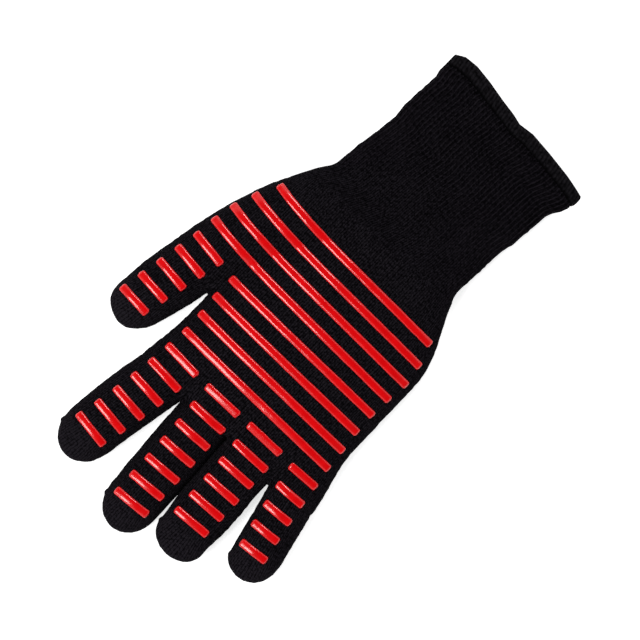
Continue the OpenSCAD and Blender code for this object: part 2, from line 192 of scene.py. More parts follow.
# Cuff: height and place across of its left and right edge, rounded over CUFF_SOFT
CUFF_LEFT = [
    (-160, -69.7), (-154, -70.2), (-149, -69.9), (-145, -68.9), (-141.5, -66.9), (-138.5, -64.4),
    (-134, -62.9), (-120, -61.4), (-109, -60.2), (-102, -58.4), (-92, -57.4), (-85, -57.5), (-77, -56.8),
    (-69, -56.0), (-60, -56.2), (-40, -61),
]
CUFF_RIGHT = [
    (-172, 39.4), (-162, 39.4), (-156, 40.2), (-149, 38.8), (-135, 40.1), (-126, 40.7), (-117, 40.2),
    (-105, 42.2), (-90, 44.9), (-78, 46.0), (-72, 46.9), (-66, 51.3), (-62, 54.7), (-56, 57.6), (-45, 61.6),
]
CUFF_SOFT = 3.0
# Height of its top, and of its mouth on both sides
TOP_Y, MOUTH_L, MOUTH_R = -57.0, -156.2, -167.6
# The mouth's wave: place across in half widths, and height there
MOUTH_X = [-1.2, -1, -0.75, -0.45, -0.18, 0, 0.12, 0.3, 0.55, 0.75, 0.9, 1, 1.2]
MOUTH_Y = [0.2, -0.4, -1.8, -2.4, -2.3, -0.1, -1.1, -1.7, -3.2, -3.7, -2.4, 0.6, 2.6]
# The underside keeps this share of the wave and is shorter in its middle
UNDER_WAVE, UNDER_SHORT = 0.35, 1.2
# Form of the section at the top and half way, and thickness there and at the mouth
CUFF_FORM, CUFF_T = (2.9, 2.35), (20.3, 19.2, 15.5)
# The underside hangs lower by a factor, and near the mouth the upper side rolls
SAG, SWAY, SWAY_TURN, SWAY_START = 1.06, 0.9, 5.2, 0.6
# The wall rises above the table, so that the hem has space under it
WALL_LIFT, MOUTH_LIFT = 0.6, 0.9
# Ribs, columns of faces, length, and the overlock seam's place, depth and half width
RIBS = 82
COLS = 8 * RIBS
CUFF_RUN = 105.0
SEAM, SEAM_DEPTH, SEAM_HALF = 0.919, 0.8, 0.008
RIB_DEPTH, CUFF_LUMP = (0.08, 0.24), 0.4
# Rows of the wall, close together at the seam
CUFF_ROWS = np.concatenate([np.linspace(0, 0.885, 84), np.linspace(0.892, 0.94, 13), [0.955, 0.975]])
# The top lies just above the palm's skin and leaves it over JOIN_RUN
JOIN_RUN, JOIN_ABOVE = 0.13, 0.03
# Lining of the cuff: distance outwards, rows and columns
LINER_OUT, LINER_ROWS, LINER_COLS = -2.7, np.linspace(0, 0.985, 40), 2 * RIBS
# The hem rolls over the mouth and inwards: share of the way to the mouth, and distance outwards
HEM = np.array([
    (0.925, -0.6), (0.9265, 0.1), (0.929, 0.55), (0.933, 0.85), (0.938, 1.0), (0.946, 1.12),
    (0.954, 1.18), (0.962, 1.2), (0.97, 1.2), (0.978, 1.18), (0.986, 1.1), (0.993, 0.9), (0.9985, 0.5),
    (1.002, -0.1), (1.003, -0.9), (1.001, -1.8), (0.996, -2.5), (0.988, -2.95), (0.975, -3.2),
    (0.96, -3.3), (0.945, -3.25), (0.935, -3.0), (0.93, -2.6),
])
HEM_COLS = 2 * COLS
# Loops of thread, the turns that they slant by in each millimetre, and their height
LOOPS, LOOP_SLANT, LOOP_HEIGHT = 104, 0.086, 0.34
# Height and grain of the hem's lumps, and the rows over which its loops fade
HEM_LUMP, HEM_GRAIN, HEM_FADE = 0.12, 3.0, 3.0

# Studio, in metres. The picture is PICTURE_W wide at the height of the glove's middle
PICTURE_W, GLOVE_MID, LENS, SENSOR = 0.3712, 0.012, 135.0, 36.0
CAMERA_AT, CAMERA_TURN = (-0.00896, -0.0006), 223.36
# Lamps: place, the point that they look at, size and watts
LAMPS = {
    "key": ((0.37, 0.85, 1.2), (0.37, 0, 0), (0.58, 0.72), 12.0),
    "second": ((0.37, -1.06, 1.06), (0.37, 0, 0), (0.58, 0.38), 6.3),
}
# Floor's half width, place and glow, and the strength of the sky
FLOOR_HALF, FLOOR_Z, FLOOR_GLOW, SKY = 30, -0.0002, 0.72, 0.8


# Helpers

def mix(a, b, t):
    return a + (b - a) * t


def smooth(t):
    t = np.clip(t, 0.0, 1.0)
    return t * t * (3 - 2 * t)


def power(value, exponent):
    """A power that keeps the sign."""
    return np.sign(value) * np.abs(value) ** exponent


def round_off(q, form):
    """1 up to q = 0, falling to 0 at q = 1 like a rounded corner."""
    return (1 - np.clip(q, 0, 1) ** form) ** (1 / form)


def heading(lean):
    """Plan direction, leaning by degrees from +Y to +X."""
    return np.array([math.sin(math.radians(lean)), math.cos(math.radians(lean))])


def across(lean):
    """Plan direction to the right of that heading."""
    return np.array([math.cos(math.radians(lean)), -math.sin(math.radians(lean))])


def noise(places, seed):
    """Smooth noise from -1 to 1 at the rows of places, one lattice cell per unit."""
    start, spin, step, skip, stir, mask = 1013, 1103515245, 374761393, 668265263, 1274126177, 0x7FFFFFFF
    count, axes = places.shape
    cell = np.floor(places).astype(np.int64)
    inside = places - cell
    inside = inside * inside * (3 - 2 * inside)
    total = np.zeros(count)
    for corner in range(2 ** axes):
        code = np.full(count, start * (seed + 1), np.int64)
        weight = np.ones(count)
        for k in range(axes):
            bit = (corner >> k) & 1
            code = (code * spin + (cell[:, k] + bit) * (step + skip * k)) & mask
            code = ((code ^ (code >> 13)) * stir) & mask
            weight = weight * (inside[:, k] if bit else 1 - inside[:, k])
        total += weight * ((code & 0xFFFF) / 32767.5 - 1)
    return total


def even(table, at, reach):
    """A table of points as a line rounded over reach."""
    x, y = np.array(table, float).T
    shifts = np.linspace(-reach, reach, 9)
    weights = np.cos(shifts / reach * math.pi / 2.2)
    total = sum(w * np.interp(at + k, x, y) for k, w in zip(shifts, weights))
    return total / weights.sum()


# Shapes of the hand

def hand_edges(y):
    """Left and right edge of the palm at height y."""
    height = y - WRIST[1]
    rise = smooth(height / PALM_RISE)
    spread = smooth((height - THUMB_Y - SPREAD_FROM) / (HAND_LEN - THUMB_Y - SPREAD_FROM))
    edges = []
    for side in (0, 1):
        wrist = (side * 2 - 1) * WRIST_W / 2
        palm = mix(wrist, PALM_EDGE[side], rise)
        edges.append(mix(palm, ROW_EDGE[side], spread ** SPREAD_BEND[side]) + WRIST[0])
    return edges


def hand_thick(y):
    height = y - WRIST[1]
    palm = mix(WRIST_T, PALM_T, smooth(height / PALM_RISE))
    return mix(palm, WEB_T, smooth((height - HAND_LEN + PALM_FALL) / PALM_FALL))


def ring(centre, left, right, thick, turn, inset, form, sides, shrink=1.0, belly=0.5, low=None):
    """A section, flat on the table, with its reach to both sides moved inwards by inset.
    form rounds its upper half and low its lower half."""
    a = np.arange(sides) * 2 * math.pi / sides
    corner = 2 / np.where(np.sin(a) < 0, low or form, form)
    u = power(np.cos(a), corner)
    u = u * np.maximum(np.where(u > 0, right, left) - inset, LEAST_REACH)
    v = power(np.sin(a), corner)
    middle = thick * mix(0.5, belly, shrink)
    reach = np.where(v < 0, middle - inset + PRESSED, thick - middle - inset)
    z = np.maximum(inset, middle + shrink * v * reach)
    plan = np.asarray(centre) + u[:, None] * across(turn)
    return np.column_stack([plan, z])


def grid_faces(rows, cols, closed=True):
    """Faces of a grid of points whose rows are rings, or open lines."""
    i, k = np.meshgrid(np.arange(rows - 1), np.arange(cols if closed else cols - 1), indexing="ij")
    after = (k + 1) % cols
    low, high = i * cols, (i + 1) * cols
    return np.stack([low + k, low + after, high + after, high + k], -1).reshape(-1, 4)


def loft(rings):
    """A closed skin over rings of equal count."""
    cols, last = len(rings[0]), (len(rings) - 1) * len(rings[0])
    caps = [range(cols)[::-1], range(last, last + cols)]
    return np.concatenate(rings), grid_faces(len(rings), cols).tolist() + caps


def digit_reach(digit, s, inset):
    """Reach of a stall to both sides of its axis."""
    reaches = []
    for side, tip in enumerate(digit.tips, 1):
        reach = even([(row[0], row[side]) for row in digit.rows], s, OUTLINE_SOFT)
        reaches.append(reach * round_off((s - digit.length + tip) / (tip - inset), TIP_FORM))
    return reaches


def digit_shrink(digit, s, inset=0.0):
    """1 along a stall, falling to 0 at its end."""
    tip = sum(digit.tips) / 2
    return round_off((s - digit.length + tip) / (tip - inset), TIP_HEIGHT_FORM)


def digit_ring(digit, s, inset):
    """Section of a stall at distance s past its root."""
    turn = mix(digit.fold_lean, digit.lean, smooth((s - TURN_FROM) / TURN_RUN))
    slant = math.cos(math.radians(turn - digit.fold_lean))
    left, right = (reach * slant for reach in digit_reach(digit, s, inset))
    centre = np.array(digit.root) + s * heading(digit.lean)
    sunk = inset + ROOT_SINK * max(0.0, SINK_END - s) / SINK_RUN
    shrink = digit_shrink(digit, s, inset)
    return ring(centre, left, right, digit.thick, turn, sunk, DIGIT_FORM, DIGIT_SIDES, shrink, digit.belly)


BALL_START = WRIST + BALL_FROM
BALL_END = np.array(THUMB.root)
BALL_BEND = BALL_END - BALL_RUN * heading(THUMB.lean)


def ball_place(t):
    """Middle of the ball of the thumb at share t, and its reach to the right."""
    centre = (1 - t) ** 2 * BALL_START + 2 * t * (1 - t) * BALL_BEND + t * t * BALL_END
    right = mix(BALL_RIGHT, BALL_HALF, (1 - t) ** 2)
    return centre, right + mix(BALL_SWELL, 0.0, t) + BALL_SWELL * math.sin(math.pi * t)


def ball_edge(t):
    centre, right = ball_place(t)
    return centre + right * across(THUMB.lean * t)


def ball_ring(t, inset):
    centre, right = ball_place(t)
    left = mix(BALL_LEFT, BALL_HALF, (1 - t) ** 2)
    thick = mix(WRIST_T, THUMB.thick, t) + BALL_CROWN * math.sin(math.pi * t)
    return ring(centre, left, right, thick, THUMB.lean * t, inset, DIGIT_FORM, DIGIT_SIDES)


def palm_ring(y, inset):
    left, right = hand_edges(y)
    half = (right - left) / 2
    centre = ((left + right) / 2, y)
    row = ring(centre, half, half, hand_thick(y), 0, inset, PALM_FORM, PALM_SIDES, low=PALM_LOW_FORM)
    row[:, 2] *= 1 - PALM_LEAN * (2 * row[:, 0] - left - right) / (right - left)
    return row


def web_ring(start, end, t, inset):
    reach = mix(*WEB_REACH, t)
    return ring(mix(start, end, t), reach, reach, WEB_THICK, 0, inset, DIGIT_FORM, WEB_SIDES)


def hand_lofts(inset):
    """Closed lofts of palm, ball, webs and stalls, moved inwards by inset."""
    heights = np.linspace(WRIST[1], WRIST[1] + PALM_END - inset, PALM_ROWS)
    lofts = [loft([palm_ring(y, inset) for y in [WRIST[1] - TUCK, *heights]])]
    ball = [ball_ring(t, inset) for t in np.linspace(0, 1, BALL_ROWS)]
    lofts.append(loft([ball[0] - (0, TUCK, 0), *ball]))
    for start, end in np.array(WEBS):
        lofts.append(loft([web_ring(start, end, t, inset) for t in np.linspace(0, 1, WEB_ROWS)]))
    for digit in DIGITS.values():
        stop = digit.length - max(digit.tips)
        stall = np.linspace(digit.rows[0][0], stop, STALL_ROWS)
        # Towards the end of the tip the sections come closer together
        tip = [mix(stop, digit.length - inset, math.sin(a)) for a in np.linspace(*TIP_TURN, TIP_ROWS)]
        lofts.append(loft([digit_ring(digit, s, inset) for s in [*stall, *tip]]))
    return lofts


def add_object(name, data):
    made = bpy.data.objects.new(name, data)
    bpy.context.scene.collection.objects.link(made)
    return made


def remesh(lofts, face_size):
    """One skin of four-sided faces round all the lofts."""
    points, faces, base = [], [], 0
    for loft_points, loft_faces in lofts:
        points.append(loft_points)
        faces += [[i + base for i in face] for face in loft_faces]
        base += len(loft_points)
    mesh = bpy.data.meshes.new("loft")
    mesh.from_pydata(np.concatenate(points).tolist(), [], faces)
    lump = add_object("loft", mesh)
    modifier = lump.modifiers.new("remesh", "REMESH")
    modifier.mode = "VOXEL"
    modifier.voxel_size = face_size
    evaluated = lump.evaluated_get(bpy.context.evaluated_depsgraph_get())
    skin = bpy.data.meshes.new_from_object(evaluated)
    places = np.empty(len(skin.vertices) * 3)
    skin.vertices.foreach_get("co", places)
    corners = np.empty(len(skin.loops), np.int64)
    skin.loops.foreach_get("vertex_index", corners)
    bpy.data.batch_remove([lump, mesh, skin])
    return places.reshape(-1, 3), corners.reshape(-1, 4)


def normals_of(points, quads):
    a, b, c, d = (points[quads[:, k]] for k in range(4))
    face_normals = np.cross(c - a, d - b)
    normals = np.zeros_like(points)
    for k in range(4):
        for axis in range(3):
            normals[:, axis] += np.bincount(quads[:, k], face_normals[:, axis], len(points))
    return normals / np.maximum(norm(normals, axis=1), 1e-12)[:, None]


def relax(points, quads, rounds):
    """Evens out the skin without shrinking it."""
    edges = np.sort(np.concatenate([quads[:, [k, (k + 1) % 4]] for k in range(4)]), axis=1)
    first, second = np.unique(edges, axis=0).T
    count = np.bincount(np.concatenate([first, second]), minlength=len(points))[:, None]
    for move in [PULL, PUSH] * rounds:
        total = np.zeros_like(points)
        for axis in range(3):
            total[:, axis] = np.bincount(first, points[second, axis], len(points))
            total[:, axis] += np.bincount(second, points[first, axis], len(points))
        points = points + move * (total / count - points)
    return points


# Materials

class Value:
    """An output of a shader node, for sums with other outputs and with numbers."""

    def __init__(self, tree, socket):
        self.tree, self.socket = tree, socket

    def apply(self, operation, *others):
        node = self.tree.nodes.new("ShaderNodeMath")
        node.operation = operation
        for socket, value in zip(node.inputs, (self, *others)):
            self.tree.put(socket, value)
        return Value(self.tree, node.outputs[0])

    __add__ = partialmethod(apply, "ADD")
    __sub__ = partialmethod(apply, "SUBTRACT")
    __mul__ = partialmethod(apply, "MULTIPLY")
    __truediv__ = partialmethod(apply, "DIVIDE")
    __pow__ = partialmethod(apply, "POWER")
    __abs__ = partialmethod(apply, "ABSOLUTE")

    def __rsub__(self, other):
        return self.apply("MULTIPLY_ADD", -1.0, other)

    def stretch(self, low, high):
        """Takes a value from 0 to 1 to low to high."""
        return self.apply("MULTIPLY_ADD", high - low, low)

    def between(self, start, end, low, high):
        """From low at start to high at end."""
        ends = dict(From_Min=start, From_Max=end, To_Min=low, To_Max=high)
        return self.tree.output("ShaderNodeMapRange", Value=self, **ends)


class ShaderTree:
    """A tree of shader nodes whose outputs are values."""

    def __init__(self, tree):
        self.nodes, self.links = tree.nodes, tree.links

    def put(self, socket, value):
        if isinstance(value, Value):
            self.links.new(value.socket, socket)
        else:
            socket.default_value = value

    def fill(self, node, **inputs):
        """Sets or links inputs by their names, with _ for a space."""
        for name, value in inputs.items():
            self.put(node.inputs[name.replace("_", " ")], value)

    def shade(self, **inputs):
        self.fill(self.nodes["Principled BSDF"], **inputs)

    def output(self, kind, name=0, settings=(), **inputs):
        """An output of a new node."""
        node = self.nodes.new(kind)
        for setting, value in settings:
            setattr(node, setting, value)
        self.fill(node, **inputs)
        return Value(self, node.outputs[name])

    def knit_place(self):
        """Place on the knit as a vector, across it and along it."""
        place = self.output("ShaderNodeUVMap", settings=[("uv_map", "knit")])
        u, v = (self.output("ShaderNodeSeparateXYZ", axis, Vector=place) for axis in (0, 1))
        return place, u, v

    def noise(self, scale, detail, rough=0.5, place=None):
        place = place or self.output("ShaderNodeTexCoord", "Object")
        looks = dict(Scale=scale, Detail=detail, Roughness=rough)
        return self.output("ShaderNodeTexNoise", Vector=place, **looks)

    def ramp(self, value, stops):
        node = self.nodes.new("ShaderNodeValToRGB")
        self.fill(node, Fac=value)
        elements = node.color_ramp.elements
        while len(elements) < len(stops):
            elements.new(0.5)
        for element, (position, colour) in zip(elements, stops):
            element.position = position
            element.color = (*colour, 1)
        return Value(self, node.outputs[0])

    def bump(self, height, distance, strength):
        return self.output("ShaderNodeBump", Height=height, Distance=distance, Strength=strength)


def new_material(name):
    material = bpy.data.materials.new(name)
    material.use_nodes = True
    return material, ShaderTree(material.node_tree)


def stitches(u, v, wale, course):
    """Height of a plain knit: columns of V stitches between furrows."""
    slope = 1.7
    side = abs((u / wale).apply("FRACT") - 0.5)
    column = 1.0 - (side * 2.0) ** 2.0
    leg = 1.0 - (abs(side - 0.25) * 4.0) ** 2.0 * 0.35
    along = (v / course - side * slope).apply("FRACT") * 2.0 - 1.0
    along = 1.0 - abs(along) ** 2.0
    return column * leg * along.stretch(0.4, 1.0)


def knit_material(name, high, wale, speckle, deep, course, sheen, tint, rib_dust_and_shade=0.0):
    """Knit in columns wale wide with stitches course long, speckled darker and paler.
    Below the wrist every second column is sunk deeper and darkened by dust and painted shade."""
    material, tree = new_material(name)
    place, u, v = tree.knit_place()
    u_bent = u + tree.noise(0.22, 2, 0.5, place).stretch(-0.35, 0.35)
    v_bent = v + tree.noise(0.31, 2, 0.5, place).stretch(-0.3, 0.3)
    stitch = stitches(u_bent, v_bent, wale, course)
    if rib_dust_and_shade:
        # Every second column is sunk and darkened, partly dust and partly painted shade in the furrows
        turn = (u_bent - wale / 2) * (math.pi / wale)
        furrow_dust_and_shade = v.between(RIB_START, RIB_FULL, 0.0, rib_dust_and_shade)
        stitch = stitch * turn.apply("COSINE").apply("MULTIPLY_ADD", furrow_dust_and_shade, 1.0)
    fibre = tree.noise(2600, 3, 0.6)
    height = stitch + fibre * 0.3
    patch = tree.noise(0.65, 2, 0.6, place).stretch(0.7 - speckle, 0.7 + speckle)
    cloud = tree.noise(0.07, 2, 0.5, place).stretch(0.6, 1.4)
    # Painted sheen: the knit's colour is made paler on the tips of the digits
    tip_sheen = tree.output("ShaderNodeAttribute", "Fac", [("attribute_name", "tip_sheen")])
    tone = height * patch.apply("MAXIMUM", 0.3) * (cloud * tip_sheen.stretch(1.0, 1.7))
    tree.shade(
        Base_Color=tree.ramp(tone, [(0.06, deep), (1.0, high)]),
        Roughness=fibre.stretch(0.7, 0.95),
        Specular_IOR_Level=0.008,
        Sheen_Weight=sheen,
        Sheen_Roughness=0.3,
        Sheen_Tint=(*tint, 1),
        Normal=tree.bump(height, 0.0005, 0.9),
    )
    return material


def silicone_material():
    """Glossy silicone, a little uneven from its flow."""
    material, tree = new_material("red_silicone")
    flow = tree.noise(260, 3, 0.55)
    fine = tree.noise(1500, 2, 0.5)
    tree.shade(
        Base_Color=tree.ramp(flow, [(0.3, RED_DEEP), (0.7, RED_HIGH)]),
        Roughness=fine.stretch(0.13, 0.2),
        IOR=1.5,
        Specular_IOR_Level=0.7,
        Normal=tree.bump(flow * 0.92 + fine * 0.08, 0.0003, 0.09),
    )
    return material


def thread_material(pitch):
    """Overlock thread in slanted loops, darker along the seam from dark thread and painted shadow, and
    paler on the rim from painted highlight.
    """
    material, tree = new_material("hem_thread")
    place, u, v = tree.knit_place()
    turn = u / pitch + v * LOOP_SLANT
    loop = abs((turn * math.pi).apply("COSINE"))
    fibre = tree.noise(2400, 3, 0.6)
    # Darker near the seam: dark thread and the painted shadow of the seam's step
    seam = v.between(0.3, 1.8, 0.1, 1.0)
    # Painted highlight makes the thread paler on the rim
    rim_highlight = v.between(5.0, 7.8, 1.0, 1.6)
    speck = tree.noise(0.5, 2, 0.6, place).stretch(-0.9, 2.4).apply("MAXIMUM", 0.12)
    tone = loop.stretch(0.35, 1.0) * fibre.stretch(0.4, 1.2) * speck * (seam * rim_highlight)
    tree.shade(
        Base_Color=tree.ramp(tone, [(0.05, THREAD_DEEP), (1.0, THREAD_HIGH)]),
        Roughness=fibre.stretch(0.6, 0.9),
        Specular_IOR_Level=0.01,
        Sheen_Weight=0.01,
        Sheen_Roughness=0.5,
        Normal=tree.bump(tone, 0.0003, 0.7),
    )
    return material


RIB_WALE, RIB_START, RIB_FULL = 1.4, -68.0, -120.0
RED_DEEP, RED_HIGH = (0.72, 0.0018, 0.0034), (0.86, 0.0032, 0.0052)
THREAD_DEEP, THREAD_HIGH = (0.0007, 0.0006, 0.0008), (0.0126, 0.0113, 0.0135)
BLACK = dict(deep=(0.0005, 0.0004, 0.0006), course=1.3, sheen=0.005, tint=(0.85, 0.8, 0.88))
KNIT = knit_material("black_knit", high=(0.0172, 0.0146, 0.0188), wale=1.5, speckle=1.9, **BLACK)
RIB_KNIT = knit_material(
    "black_rib", high=(0.015, 0.0127, 0.0166), wale=RIB_WALE, speckle=1.8, rib_dust_and_shade=0.6, **BLACK
)
COTTON = knit_material(
    "cotton_knit", high=(0.74, 0.71, 0.62), wale=1.3, speckle=1.6,
    deep=(0.34, 0.31, 0.25), course=1.0, sheen=0.3, tint=(1.0, 0.97, 0.9),
)
RED = silicone_material()


# Meshes into objects

def piece(name, points, faces, uv, material, normals=None, tip_sheen=None):
    """An object from points in millimetres."""
    mesh = bpy.data.meshes.new(name)
    mesh.from_pydata((points * MM).tolist(), [], faces.tolist())
    layer = mesh.uv_layers.new(name="knit")
    layer.data.foreach_set("uv", uv[faces].astype(np.float32).ravel())
    mesh.shade_smooth()
    if normals is not None:
        mesh.normals_split_custom_set_from_vertices(normals.tolist())
    # The painted sheen on the tips goes to the shader as a point attribute
    if tip_sheen is not None:
        attribute = mesh.attributes.new("tip_sheen", "FLOAT", "POINT")
        attribute.data.foreach_set("value", tip_sheen.astype(np.float32))
    mesh.materials.append(material)
    return add_object(name, mesh)


def digit_place(digit, points):
    """Distance along a digit's axis and across it."""
    from_root = points[:, :2] - np.array(digit.root)
    return from_root @ heading(digit.lean), from_root @ across(digit.lean)


def fold_place(digit, points):
    """Distance past a digit's root fold."""
    return (points[:, :2] - np.array(digit.root)) @ heading(digit.fold_lean)


def owners(points, normals):
    """Number of the digit that each point lies on, or -1 for the palm."""
    names = list(DIGITS)
    best = np.full(len(points), OWN_MOST)
    owner = np.full(len(points), -1)
    for i, digit in enumerate(DIGITS.values()):
        sideways = digit_place(digit, points)[1]
        past = fold_place(digit, points)
        reach = np.abs(sideways) / OWN_HALF
        if digit is THUMB:
            near = (past > THUMB_FROM) & (sideways > THUMB_SIDE)
        else:
            by_thumb = (points[:, 0] > THUMB_CORNER[0]) & (points[:, 1] < THUMB_CORNER[1])
            near = (past > FINGER_FROM) & ~by_thumb
        hit = near & (reach < best)
        owner[hit] = i
        best[hit] = reach[hit]
    # The ring and the middle stall lie against each other, so the way a wall faces tells which one it is
    middle = DIGITS["middle"]
    past = fold_place(middle, points)
    touch = np.abs(digit_place(middle, points)[1] - TOUCH_AT) < TOUCH_HALF
    touch &= (past > TOUCH_FROM) & (past < TOUCH_TO) & (owner >= 0)
    faces_ring = normals[touch, :2] @ across(middle.lean) < 0
    owner[touch] = np.where(faces_ring, names.index("middle"), names.index("ring"))
    return owner


def tip_share(digit, s):
    """0 along a stall, rising to 1 at its tip."""
    tip_run = 24.0
    return smooth((s - digit.length + tip_run) / tip_run)


def tip_sheen_places(points, owner):
    """1 on the tips of the digits, where painted sheen makes the knit paler."""
    ahead = 6.0
    tip_sheen = np.zeros(len(points))
    for i, digit in enumerate(DIGITS.values()):
        s, _ = digit_place(digit, points)
        tip_sheen = np.where(owner == i, tip_share(digit, s + ahead), tip_sheen)
    return tip_sheen


def knit_coordinates(points, owner):
    """Millimetres across and along the knit, following digits and wrapping round edges."""
    wrap, edge, edge_run, crown, gather, root, root_run = 0.8, 18.0, 9.0, 4.0, 0.3, 13.0, 12.0
    x, y, z = points.T
    above_wrist = np.maximum(y, WRIST[1])
    left, right = hand_edges(above_wrist)
    ball = np.array([ball_edge(t) for t in np.linspace(0, 1, 40)])
    right = np.maximum(right, np.interp(above_wrist, ball[:, 1], ball[:, 0], right=0.0))
    drop = np.maximum(0, np.minimum(hand_thick(above_wrist) - z, z))
    round_edge = smooth((x - right + edge) / edge_run) - smooth((left + edge - x) / edge_run)
    u, v = x + wrap * drop * round_edge, y
    for i, digit in enumerate(DIGITS.values()):
        s, c = digit_place(digit, points)
        shrink = digit_shrink(digit, s)
        top = digit.thick / 2 * (1 + shrink)
        drop = np.maximum(0, np.minimum(top - z, z - (digit.thick - top)))
        wrapped = c + np.tanh(c / crown) * wrap * drop
        digit_u = digit.root[0] + wrapped * (1 - gather * tip_share(digit, s))
        digit_v = digit.root[1] + s + wrap * (digit.thick / 2) * (1 - shrink)
        weight = smooth((s + root) / root_run) * (owner == i)
        u, v = mix(u, digit_u, weight), mix(v, digit_v, weight)
    return np.column_stack([u, v])


def stands_for(made, slot, *nodes):
    """Shows a piece in place of CAD nodes by hiding them. The slot is not used."""
    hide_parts(*nodes)


def blend_root(made, name):
    blend_fold(made)


def blend_mid(made, name):
    blend_fold(made)


def blend_fold(made):
    """Bakes a piece's placement into its mesh."""
    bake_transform(made)


def blend_wrist(made):
    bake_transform(made)


# The outer knit and the lining: two skins, cut where the folds' bodies meet

def skin_pieces(tag, points, quads, normals, uv, material, node, slot, tip_sheen):
    """Cuts a skin into the palm and two pieces for each digit."""
    palm_low_y = -60.0
    middles = points[quads].mean(axis=1)
    owner = owners(middles, normals[quads].mean(axis=1))

    def cut_out(name, keep):
        used, faces = np.unique(quads[keep], return_inverse=True)
        faces = faces.reshape(-1, 4)
        return piece(name, points[used], faces, uv[used], material, normals[used], tip_sheen[used])

    palm = cut_out(f"palm_{tag}", (owner < 0) & (middles[:, 1] > palm_low_y))
    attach(palm, "hand")
    stands_for(palm, slot, f"hand_{node}")
    for i, (name, digit) in enumerate(DIGITS.items()):
        at_root = fold_place(digit, middles) < PITCH
        for part, keep, bend in (("base", at_root, blend_root), ("tip", ~at_root, blend_mid)):
            stall = cut_out(f"{name}_{part}_{tag}", (owner == i) & keep)
            bend(stall, name)
            stands_for(stall, slot, f"{name}_{part}_{node}")


def crease_depth(points):
    """1 in the crease between the ring and the middle stall, 0 elsewhere."""
    ring_stall, middle_stall = DIGITS["ring"], DIGITS["middle"]
    x, y, _ = points.T
    x = x - (ring_stall.root[0] + middle_stall.root[0]) / 2
    x = x + (y - PALM_END - WRIST[1]) * math.tan(math.radians(-ring_stall.lean))
    return np.exp(-(x / CREASE_HALF) ** 2) * smooth((y - CREASE_FROM) / CREASE_RUN)


def push_knots(points):
    """Pushes out the knots and pushes in the dent."""
    for name, s, c, push, radius in KNOTS:
        digit = DIGITS[name]
        plan = np.array(digit.root) + s * heading(digit.lean) + c * across(digit.lean)
        spot = np.append(plan, KNOT_HEIGHT * digit.thick)
        far = norm((points - spot) / (1.0, 1.0, KNOT_TALL), axis=1)
        direction = np.append(across(digit.lean - KNOT_TURN), 0.0)
        points = points + (push * np.exp(-(far / radius) ** 2))[:, None] * direction
    return points


skin, skin_quads = remesh(hand_lofts(INSET), SKIN_FACE)
skin = relax(skin, skin_quads, SKIN_ROUNDS)
skin = skin + INSET * normals_of(skin, skin_quads)
# The skin stays even where it lies on the table and in the crease
uneven = smooth((skin[:, 2] - EVEN_Z) / EVEN_RUN)
calm = 1 - crease_depth(skin)
swell = LUMP * noise(skin / LUMP_GRAIN, 3) + DIMPLE * noise(skin / DIMPLE_GRAIN, 5)
skin = push_knots(skin + (swell * uneven * calm)[:, None] * normals_of(skin, skin_quads))
skin[:, 2] = np.maximum(skin[:, 2], REST)
skin_normals = normals_of(skin, skin_quads)
# The cuff and the bars lie on the skin before its yarn stands up in fuzz
even_skin = BVHTree.FromPolygons(skin.tolist(), skin_quads.tolist())
skin_owner = owners(skin, skin_normals)
skin_uv = knit_coordinates(skin, skin_owner)
# Painted sheen makes the tips of the digits paler
skin_tip_sheen = tip_sheen_places(skin, skin_owner)
above_cuff = smooth((skin[:, 1] - FUZZ_FROM) / FUZZ_RUN)
fuzz = FUZZ * noise(skin / FUZZ_GRAIN, 71) * above_cuff * uneven * calm
skin = skin + fuzz[:, None] * skin_normals
skin_pieces("knit", skin, skin_quads, skin_normals, skin_uv, KNIT, "shell", "outer_knit", skin_tip_sheen)


def make_lining():
    points, quads = remesh(hand_lofts(LINING_INSET), LINING_FACE)
    points = relax(points, quads, LINING_ROUNDS)
    normals = normals_of(points, quads)
    uv = knit_coordinates(points, owners(points, normals))
    # The lining gets no painted sheen
    no_tip_sheen = np.zeros(len(points))
    skin_pieces("lining", points, quads, normals, uv, COTTON, "liner", "cotton_liner", no_tip_sheen)


make_lining()


# Cuff and hem: rows of points round the cuff, from the palm to the mouth

